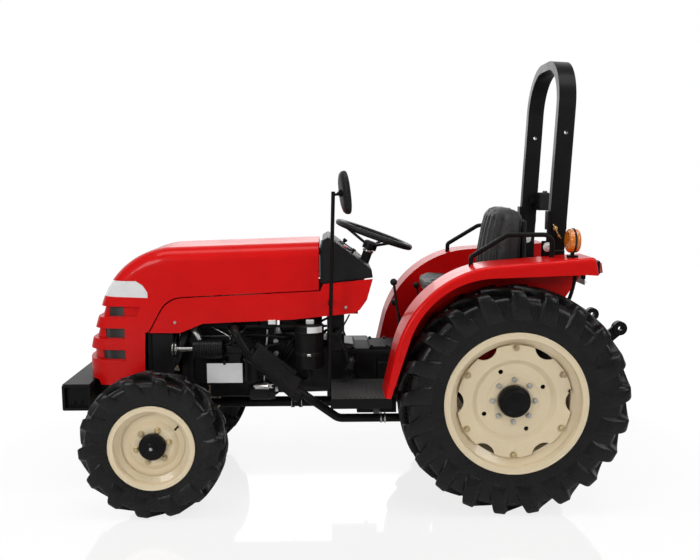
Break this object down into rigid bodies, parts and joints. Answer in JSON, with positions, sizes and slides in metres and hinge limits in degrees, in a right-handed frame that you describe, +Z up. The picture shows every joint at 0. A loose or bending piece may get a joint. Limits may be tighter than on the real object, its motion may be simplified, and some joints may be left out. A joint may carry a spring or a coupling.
{
  "type": "compact farm tractor",
  "caption": "Open-station compact farm tractor with red bodywork, cream wheels, folding roll-over hoop and rear hitch.",
  "frame": {"origin": "middle of the tractor's box, on the ground", "axes": "+X towards the rear, +Y to the tractor's right, +Z up"},
  "size_m": [2.7197, 1.101, 2.0879],
  "materials": {
    "red_paint": "gloss",
    "cream_paint": "semi-gloss",
    "black_paint": "semi-gloss",
    "dark_casting": "painted, satin",
    "steel": "satin",
    "black_plastic": "satin",
    "seat_vinyl": "matt",
    "tyre_rubber": "matt",
    "lamp_clear": "gloss",
    "lamp_amber": "gloss",
    "lamp_red": "gloss"
  },
  "bodies": {
    "root": {"clutch_housing": "dark_casting", "controls": "black_paint", "dash": "black_plastic", "dash_pedestal": "black_paint", "drawbar": "black_paint", "drive_shaft": "black_paint", "engine": "dark_casting", "engine_fittings": "black_paint", "exhaust": "black_paint", "fender_left": "red_paint", "fender_rails": "black_paint", "fender_right": "red_paint", "front_axle": "dark_casting", "front_frame": "dark_casting", "gearbox": "dark_casting", "indicators": "lamp_amber", "mirror_head": "black_plastic", "mirror_stalk": "black_paint", "oil_canister": "black_paint", "platforms": "black_paint", "pto_shaft": "steel", "radiator": "black_paint", "rear_axle_housing": "dark_casting", "rops_posts": "black_paint", "seat_back": "seat_vinyl", "seat_cushion": "seat_vinyl", "seat_stand": "black_plastic", "side_panels": "red_paint", "tail_lamps": "lamp_red", "weight_carrier": "dark_casting"},
    "hood": {"hood": "red_paint", "headlights": "lamp_clear", "grille_screen": "black_plastic"},
    "rops": {"rops_hoop": "black_paint", "work_lamp": "black_plastic"},
    "steering_wheel": {"steering_wheel": "black_plastic"},
    "knuckle_left": {"knuckle_left": "dark_casting"},
    "knuckle_right": {"knuckle_right": "dark_casting"},
    "tie_rod": {"tie_rod": "black_paint"},
    "lift": {"lift_shaft": "black_paint"},
    "front_wheel_left": {"front_tyre_left": "tyre_rubber", "front_wheel_left": "cream_paint", "front_hub_left": "black_paint"},
    "rear_wheel_left": {"rear_tyre_left": "tyre_rubber", "rear_wheel_left": "cream_paint", "rear_hub_left": "black_paint"},
    "lower_link_left": {"lower_link_left": "black_paint"},
    "lift_rod_left": {"lift_rod_left": "black_paint"},
    "front_wheel_right": {"front_tyre_right": "tyre_rubber", "front_wheel_right": "cream_paint", "front_hub_right": "black_paint"},
    "rear_wheel_right": {"rear_tyre_right": "tyre_rubber", "rear_wheel_right": "cream_paint", "rear_hub_right": "black_paint"},
    "lower_link_right": {"lower_link_right": "black_paint"},
    "lift_rod_right": {"lift_rod_right": "black_paint"}
  },
  "joints": [
    {"name": "steer_left", "type": "hinge", "parent": "root", "child": "knuckle_left", "pos_m": [-0.88491, -0.35, 0.332], "axis": [0, 0, 1], "range_deg": [-40, 40]},
    {"name": "steer_right", "type": "hinge", "parent": "root", "child": "knuckle_right", "pos_m": [-0.88491, 0.35, 0.332], "axis": [0, 0, 1], "range_deg": [-40, 40]},
    {"name": "steering_wheel_turn", "type": "hinge", "parent": "root", "child": "steering_wheel", "pos_m": [0.13809, 0, 1.25], "axis": [0.3371, 0, 0.9415], "range_deg": [-480, 480]},
    {"name": "tie_rod_turn", "type": "hinge", "parent": "knuckle_left", "child": "tie_rod", "pos_m": [-0.72491, -0.35, 0.305], "axis": [0, 0, 1], "range_deg": [-40, 40]},
    {"name": "front_wheel_left_spin", "type": "hinge", "parent": "knuckle_left", "child": "front_wheel_left", "pos_m": [-0.88491, -0.461, 0.332], "axis": [0, 1, 0], "continuous": true},
    {"name": "rear_wheel_left_spin", "type": "hinge", "parent": "root", "child": "rear_wheel_left", "pos_m": [0.75109, -0.43, 0.525], "axis": [0, 1, 0], "continuous": true},
    {"name": "front_wheel_right_spin", "type": "hinge", "parent": "knuckle_right", "child": "front_wheel_right", "pos_m": [-0.88491, 0.461, 0.332], "axis": [0, 1, 0], "continuous": true},
    {"name": "rear_wheel_right_spin", "type": "hinge", "parent": "root", "child": "rear_wheel_right", "pos_m": [0.75109, 0.43, 0.525], "axis": [0, 1, 0], "continuous": true},
    {"name": "hood_lift", "type": "hinge", "parent": "root", "child": "hood", "pos_m": [-0.15391, 0, 1.215], "axis": [0, 1, 0], "range_deg": [0, 55]},
    {"name": "rops_fold", "type": "hinge", "parent": "root", "child": "rops", "pos_m": [0.97609, 0, 1.206], "axis": [0, 1, 0], "range_deg": [0, 88]},
    {"name": "hitch_lift", "type": "hinge", "parent": "root", "child": "lift", "pos_m": [0.85109, 0, 0.72], "axis": [0, 1, 0], "range_deg": [0, 50]},
    {"name": "lift_rod_left_swing", "type": "hinge", "parent": "lift", "child": "lift_rod_left", "pos_m": [1.06208, -0.235, 0.90407], "axis": [0, 1, 0], "range_deg": [-50, 0]},
    {"name": "lower_link_left_swing", "type": "hinge", "parent": "root", "child": "lower_link_left", "pos_m": [0.78109, -0.2, 0.33], "axis": [0, 1, 0], "range_deg": [0, 50]},
    {"name": "lift_rod_right_swing", "type": "hinge", "parent": "lift", "child": "lift_rod_right", "pos_m": [1.06208, 0.235, 0.90407], "axis": [0, 1, 0], "range_deg": [-50, 0]},
    {"name": "lower_link_right_swing", "type": "hinge", "parent": "root", "child": "lower_link_right", "pos_m": [0.78109, 0.2, 0.33], "axis": [0, 1, 0], "range_deg": [0, 50]}
  ],
  "couplings": [
    {"joint": "steer_right", "follows": "steer_left", "ratio": 1},
    {"joint": "tie_rod_turn", "follows": "steer_left", "ratio": -1},
    {"joint": "steering_wheel_turn", "follows": "steer_left", "ratio": 12},
    {"joint": "lift_rod_left_swing", "follows": "hitch_lift", "ratio": -1},
    {"joint": "lower_link_left_swing", "follows": "hitch_lift", "ratio": 1},
    {"joint": "lift_rod_right_swing", "follows": "hitch_lift", "ratio": -1},
    {"joint": "lower_link_right_swing", "follows": "hitch_lift", "ratio": 1}
  ]
}
